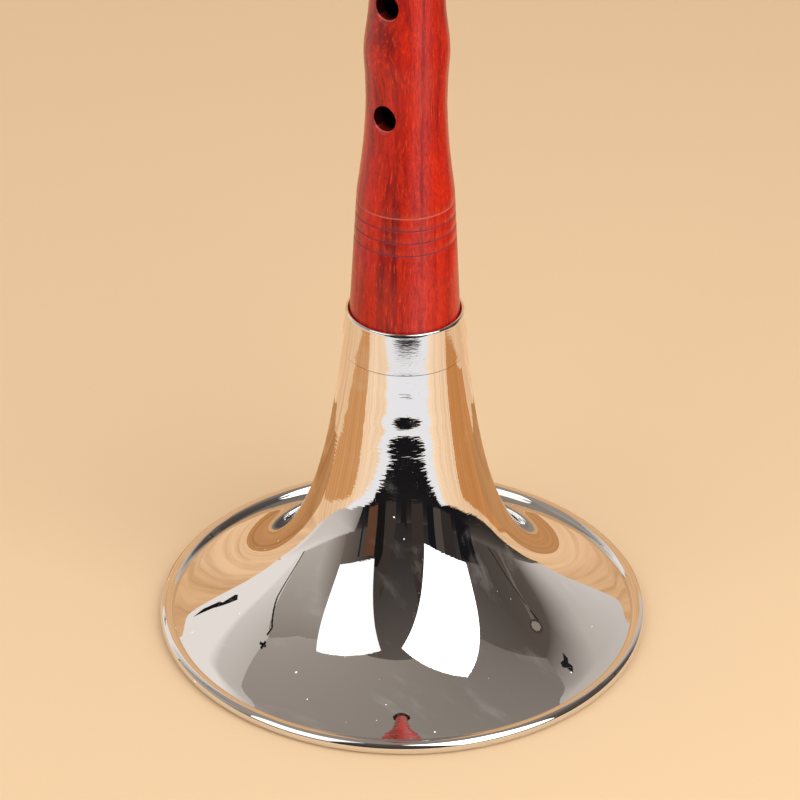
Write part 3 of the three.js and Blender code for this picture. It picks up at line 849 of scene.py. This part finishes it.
wire_ring = reed_bore(THROAT_WIRE_FOOT) + REED_WALL + 0.06 + THROAT_WIRE_RADIUS
winding = helix(wire_ring, THROAT_WIRE_RADIUS, THROAT_WIRE_FOOT, THROAT_WIRE_PITCH, THROAT_WIRE_TURNS, 48, 12)
finish_piece(winding, "throat_wire", "reed", ["reed_wire"], brass)

# ------------------------------------------------ studio

# Distances from the bell in metres: the walls, the upright boards and the thin bars
ROOM = 2.4
BOARDS = 1.85
BARS = 1.8
FLOOR_HALF = 60
# The share of light that the plating gives back; the cards are that much brighter
PLATE_GAIN = 0.80

# Tones, as screen colours from 0 to 255
PALE_WALL = (225, 218, 212)
WALL = (180, 172, 165)
LIT_WALL = (186, 179, 172)
SHADED = (134, 125, 117)
TURNING = (106, 96, 89)
DARK = (84, 75, 68)
DARK_FLOOR = (60, 53, 49)
BLACK = (22, 21, 23)
BOARD_FRONT = (250, 219, 184)
BOARD_BACK = (228, 187, 145)
BOARD_HIGH = (214, 171, 127)


def turned(x, y, z):
    """A place in the studio, given as seen by the camera: right, away, up; in metres."""
    c, s = math.cos(CAMERA_TURN), math.sin(CAMERA_TURN)
    return Vector((c * x - s * y, s * x + c * y, z))


def linear(r, g, b):
    """A screen colour, 0 to 255, as the linear light that a card gives off."""
    return tuple(c / 12.92 / 255 if c < 10.3 else ((c / 255 + 0.055) / 1.055) ** 2.4 for c in (r, g, b))


def toward(azimuth, elevation, distance):
    """A place seen from the bell in a direction, in degrees: 0 is at the camera, 90 to its right."""
    a, e = math.radians(azimuth), math.radians(elevation)
    return (distance * math.sin(a) * math.cos(e), -distance * math.cos(a) * math.cos(e), distance * math.sin(e))


def axes_at(x, y, z, place):
    """The matrix of an object whose own axes point along x, y and z."""
    matrix = Matrix((x, y, z)).transposed().to_4x4()
    matrix.translation = place
    return matrix


def stage_panel(name, corners, material):
    """A flat stage panel through the given corners, given as the camera sees them."""
    bm = bmesh.new()
    bm.faces.new([bm.verts.new(turned(*c)) for c in corners])
    made = mesh_object(name, bm)
    made.data.materials.append(material)
    return made


def card_glow(name, grain):
    """Plain light in the card's own corner colours; the board's has a little long grain."""
    material, tree, shader = new_material(name)
    tone = painted(tree, "tone", "Color")
    if grain:
        streaks = noise(tree, object_mm(tree, (0.004, 0.11, 0.035), -CAMERA_TURN), 1.0, 3.0, 0.6)
        shades = ramp(tree, streaks, [(0.3, (0.80, 0.74, 0.68)), (0.6, (1.04, 1.04, 1.05))])
        tone = blend_colour(tree, 1.0, tone, shades, "MULTIPLY")
    feed(tree, shader, Base_Color=(0, 0, 0, 1), Specular_IOR_Level=0.0, Emission_Color=tone,
         Emission_Strength=1 / PLATE_GAIN)
    return material


plain_glow = card_glow("plain_glow", False)
board_glow = card_glow("board_glow", True)


def card(name, corners, tones, glow=plain_glow):
    """A card that only reflections see, in one tone or a tone for each corner."""
    made = stage_panel(name, corners, glow)
    colours = [tones] * len(corners) if isinstance(tones[0], int) else tones
    layer = made.data.color_attributes.new("tone", "FLOAT_COLOR", "CORNER")
    for item, colour in zip(layer.data, colours):
        item.color = (*linear(*colour), 1)
    for ray in ("camera", "diffuse", "shadow", "transmission", "volume_scatter"):
        setattr(made, "visible_" + ray, False)
    return made


def far_card(name, directions, tones, distance=ROOM):
    return card(name, [toward(a, e, distance) for a, e in directions], tones)


def strut(name, points, width, tone):
    """A thin straight or bent bar, as flat lengths between the given directions; its width is in degrees."""
    for (a, b), (c, d) in zip(points, points[1:]):
        long = math.hypot(c - a, d - b)
        u, v = -(d - b) / long * width / 2, (c - a) / long * width / 2
        far_card(name, [(a - u, b - v), (c - u, d - v), (c + u, d + v), (a + u, b + v)], tone, BARS)


def low_card(name, points, tones, lift, glow=plain_glow):
    """A card that lies just over the floor; its corners and its lift are in millimetres."""
    return card(name, [(x * MM, y * MM, lift * MM) for x, y in points], tones, glow)


def board(name, points, lift=0.5):
    """One piece of the board, paler towards its front."""
    share = [min(1.0, max(0.0, (y + 200) / 260)) for x, y in points]
    tones = [tuple(mix(f, b, u) for f, b in zip(BOARD_FRONT, BOARD_BACK)) for u in share]
    return low_card(name, points, tones, lift, board_glow)


def softbox(name, low_left, low_right, high_left, radiance):
    """A rectangular soft light through three of its corners, facing the instrument."""
    a, b, c = turned(*low_left), turned(*low_right), turned(*high_left)
    across, upward = b - a, c - a
    lamp = bpy.data.lights.new(name, "AREA")
    lamp.shape = "RECTANGLE"
    lamp.size, lamp.size_y = across.length, upward.length
    lamp.energy = radiance * math.pi * across.length * upward.length
    made = new_object(name, lamp)
    x = across.normalized()
    y = (upward - x * upward.dot(x)).normalized()
    z = x.cross(y)
    place = a + (across + upward) / 2
    if z.dot(place) < 0:
        x, z = -x, -z
    made.matrix_world = axes_at(x, y, z, place)
    made.visible_camera = False
    return made


def pale_floor():
    material, tree, shader = new_material("pale_floor")
    feed(tree, shader, Base_Color=(0.72, 0.53, 0.34, 1), Roughness=0.9, Specular_IOR_Level=0.1)
    return material


def square(half, height):
    return [(-half, -half, height), (half, -half, height), (half, half, height), (-half, half, height)]


stage_panel("floor", square(FLOOR_HALF, 0), pale_floor())
softbox("left_softbox", (-0.884, -0.409, 0.196), (-0.432, -0.763, 0.173), (-0.642, -0.114, 0.874), 1.22)
softbox("right_softbox", (0.318, -0.679, 0.094), (0.667, -0.273, 0.137), (-0.018, -0.521, 0.806), 2.4)

# The room round the set, as the bell and the collar show it
card("ceiling", square(6, 2.6), [(178, 167, 157), (51, 47, 45), (51, 47, 45), (178, 167, 157)])
far_card("left_wall", [(-166, -8), (-112, -8), (-113.5, 20), (-112.3, 41), (-126.7, 48.5), (-150, 55), (-166, 58)],
         [PALE_WALL, PALE_WALL, (204, 197, 190), WALL, WALL, WALL, PALE_WALL])
far_card("left_wall_shaded", [(-112, -8), (-93, -8), (-93, 44), (-112.3, 41), (-113.5, 20)],
         [WALL, WALL, SHADED, SHADED, (156, 147, 138)])
far_card("left_wall_turn", [(-93, -8), (-66, -8), (-66, 50), (-93, 44)], [WALL, TURNING, SHADED, SHADED])
far_card("low_left_boards", [(-68, -9), (-30, -9), (-30, 12), (-68, 12)], [TURNING, BLACK, (40, 35, 34), TURNING])
far_card("room_between", [(-36, -9), (30, -9), (30, 62), (-36, 62)], [BLACK, BLACK, (92, 84, 79), (86, 78, 73)])
far_card("low_right_boards", [(26, -9), (70, -9), (70, 10), (26, 10)],
         [BLACK, (44, 42, 43), (60, 56, 56), (52, 49, 49)])
far_card("right_wall", [(68, -9), (120, -9), (120, 47), (68, 47)], [(62, 56, 53), DARK, DARK, (96, 88, 84)])
far_card("right_wall_turn", [(120, -9), (136, -9), (136, 32), (120, 32)], [DARK, LIT_WALL, WALL, DARK])
far_card("right_wall_top", [(120, 32), (136, 32), (150, 53), (120, 47)], [DARK, WALL, WALL, (92, 83, 76)])
far_card("right_pale_wall", [(136, -9), (166, -9), (166, 58), (150, 53), (136, 32)],
         [LIT_WALL, PALE_WALL, WALL, WALL, WALL])

# Upright boards between the lights, each with its foot on the floor: azimuth, width and top in degrees, and tone
UPRIGHTS = (
    (-49, 2, 9, (40, 36, 34)), (-42.5, 11, 9, (92, 62, 46)), (-31, 9, 14, (24, 21, 21)), (-22, 13, 38, (58, 50, 45)),
    (-3, 7, 38, (28, 25, 25)), (10, 14, 38, (54, 47, 43)), (29, 8, 9, BLACK), (37, 9, 9, (74, 67, 62)),
    (46, 12, 9, (48, 43, 40)), (63, 17, 9, BLACK),
)
FOOT_START = 0.44
FOOT_LIFT = 0.0012
for side, width, top, tone in UPRIGHTS:
    other = side + width
    far_card("upright_board", [(side, -1), (other, -1), (other, top), (side, top)], tone, BOARDS)
    foot = [toward(a, 0, out) for a, out in ((side, FOOT_START), (other, FOOT_START), (other, BOARDS), (side, BOARDS))]
    card("upright_foot", [(x, y, FOOT_LIFT) for x, y, z in foot], tone)

# Poles, clamps, an arm, a cable and a small lamp in front of the walls
strut("left_pole", [(-111.8, -1.8), (-113.2, 13.0), (-113.6, 21.5), (-111.3, 31.7), (-110.0, 36.9), (-112.9, 39.7)],
      1.0, BLACK)
strut("left_clamp", [(-113.6, 42.3), (-117.0, 44.6)], 1.3, BLACK)
strut("left_clamp", [(-117.1, 42.0), (-113.9, 44.5)], 1.3, BLACK)
far_card("left_arm", [(-146.6, 28.4), (-145.4, 25.3), (-142.2, 21.7), (-140.9, 22.0), (-138.7, 18.0),
                      (-137.4, 17.9), (-135.9, 20.4), (-140.0, 23.3), (-142.6, 24.7), (-145.2, 27.0)], BLACK, BARS)
far_card("right_clamp", [(126.6, 42.6), (129.6, 43.8), (130.6, 45.2), (132.8, 45.5), (134.4, 47.4), (131.0, 46.9),
                         (129.0, 47.3), (127.2, 46.3), (128.2, 45.0)], (30, 29, 30), BARS)
strut("right_pole", [(105.5, -4.9), (108.9, 2.2), (108.1, 16.7), (110.7, 27.7), (111.9, 33.2)], 2.2, (104, 95, 88))
strut("right_cable", [(92.6, -5.0), (101.1, 3.5), (106.0, 14.4), (111.4, 26.7), (114.8, 31.7)], 0.8, BLACK)
far_card("right_lamp_rim", [(108.6, 34.2), (109.7, 32.0), (112.9, 31.1), (116.0, 32.4), (116.5, 34.8),
                            (114.9, 37.1), (111.9, 38.0), (109.1, 36.7)], (66, 58, 52), BARS - 0.01)
far_card("right_lamp", [(109.6, 34.3), (110.5, 32.9), (112.8, 32.2), (114.9, 33.0), (115.4, 34.6), (114.2, 36.3),
                        (112.1, 36.9), (110.1, 36.0)], (136, 126, 113), BARS - 0.02)

# The board that it stands on, as the metal sees it: tan, rising behind, white along its front edge, dark beyond
NEAR = 85
BACK_WALL = 0.47
RISE = [(-0.529, -0.02), (0.394, -0.02), (0.324, 0.131), (0.298, 0.20), (0.285, 0.25), (0.271, 0.54), (0.24, 0.92),
        (-0.24, 0.92), (-0.271, 0.54), (-0.30, 0.377), (-0.342, 0.264), (-0.392, 0.173), (-0.446, 0.09)]
card("rise", [(x, BACK_WALL, z) for x, z in RISE], [BOARD_BACK if z < 0.1 else BOARD_HIGH for x, z in RISE],
     board_glow)
LEFT_EDGE = [(-293, -85), (-250, 15), (-222, 59), (-222, 114), (-340, 290), (-529, 470)]
RIGHT_EDGE = [(300, -85), (292, -50), (245, 18), (214, 66), (200, 145), (310, 360), (394, 470)]
FRONT_EDGE = [(-262, -185), (-195, -216), (-120, -222), (0, -218), (120, -203), (158, -190), (204, -196),
              (252, -208), (292, -206)]
OUTER_EDGE = [(-302, -252), (-247, -303), (-195, -280), (-141, -281), (-102, -263), (-60, -265), (10, -267),
              (70, -259), (108, -246), (138, -241), (168, -253), (208, -253), (290, -262)]
board("board_back", [*LEFT_EDGE[:1:-1], (-222, NEAR), (206, NEAR), *RIGHT_EDGE[4:]])
board("board_left", [(-222, NEAR), *LEFT_EDGE[2::-1], (-NEAR, -NEAR), (-NEAR, NEAR)])
board("board_right", [(NEAR, NEAR), (NEAR, -NEAR), *RIGHT_EDGE[:4], (206, NEAR)])
board("board_front", [(-293, -NEAR), *FRONT_EDGE, (300, -NEAR)])
low_card("shade_left", [(-208, -106), (-170, -60), (-128, 60), (-159, 50), (-200, 23), (-244, -40), (-254, -94)],
         (205, 149, 96), 0.6, board_glow)
low_card("shade_right", [(208, -52), (240, -44), (224, 10), (160, 84), (124, 83), (100, 60), (130, -10)],
         (197, 134, 78), 0.6, board_glow)
low_card("shade_back", [(128, 20), (138, 60), (95, 104), (0, 118), (-95, 104), (-142, 60), (-128, 20),
                        (-61, 17), (-45, 45), (0, 63.6), (45, 45), (61, 17)], (182, 131, 84), 0.7, board_glow)
low_card("glare", [*OUTER_EDGE, (300, -150), *FRONT_EDGE[::-1], (-293, -85), (-318, -136)], (229, 228, 231), 0.7)
low_card("beyond_front", [(-2400, -1500), *OUTER_EDGE, (2400, -1500), (2400, -2400), (-2400, -2400)],
         [(112, 100, 94), *[BLACK] * len(OUTER_EDGE), (60, 55, 52), (52, 46, 44), (76, 66, 62)], 0.9)
low_card("beyond_left", [(-302, -252), (-318, -136), *LEFT_EDGE, (-2400, 2100), (-2400, -1500)],
         [(120, 113, 108), (165, 158, 152), (178, 171, 165), (196, 189, 182), *[PALE_WALL] * 5, (140, 132, 125)],
         0.9)
low_card("beyond_right", [(290, -262), (2400, -1500), (2400, 2400), *RIGHT_EDGE[::-1]],
         [BLACK, (60, 55, 52), (108, 100, 93), (92, 84, 77), *[DARK_FLOOR] * 4, BLACK, BLACK], 0.9)

# ------------------------------------------------ world and camera

SOFT_LIGHT = (0.86, 0.79, 0.71, 1)
SEEN_BY_METAL = (0.325, 0.283, 0.255, 1)
SEEN_BY_CAMERA = (0.62, 0.42, 0.242, 1)

CAMERA_PLACE = (-0.0018, -0.6187, 0.4291)
CAMERA_PITCH, CAMERA_YAW, CAMERA_ROLL = (math.radians(angle) for angle in (30.63, 0.073, 0.42))
SENSOR_WIDTH = 36
FOCAL_PIXELS = 2900
IMAGE_PIXELS = 800


def add_world():
    world = bpy.data.worlds.new("studio")
    bpy.context.scene.world = world
    world.use_nodes = True
    tree = world.node_tree
    paths = add_node(tree, "ShaderNodeLightPath").outputs
    glossy = blend_colour(tree, paths["Is Glossy Ray"], SOFT_LIGHT, SEEN_BY_METAL)
    feed(tree, tree.nodes["Background"], Color=blend_colour(tree, paths["Is Camera Ray"], glossy, SEEN_BY_CAMERA))


def add_camera():
    forward = Vector((math.sin(CAMERA_YAW) * math.cos(CAMERA_PITCH), math.cos(CAMERA_YAW) * math.cos(CAMERA_PITCH),
                      -math.sin(CAMERA_PITCH)))
    right = forward.cross(Vector((0, 0, 1))).normalized()
    upward = right.cross(forward)
    c, s = math.cos(CAMERA_ROLL), math.sin(CAMERA_ROLL)
    right, upward = right * c + upward * s, upward * c - right * s
    data = bpy.data.cameras.new("camera")
    data.sensor_width = SENSOR_WIDTH
    data.lens = SENSOR_WIDTH * FOCAL_PIXELS / IMAGE_PIXELS
    data.clip_start = 0.01
    camera = new_object("camera", data)
    camera.matrix_world = axes_at(turned(*right), turned(*upward), turned(*-forward), turned(*CAMERA_PLACE))
    bpy.context.scene.camera = camera


add_world()
add_camera()
bpy.context.scene.view_settings.view_transform = "Standard"
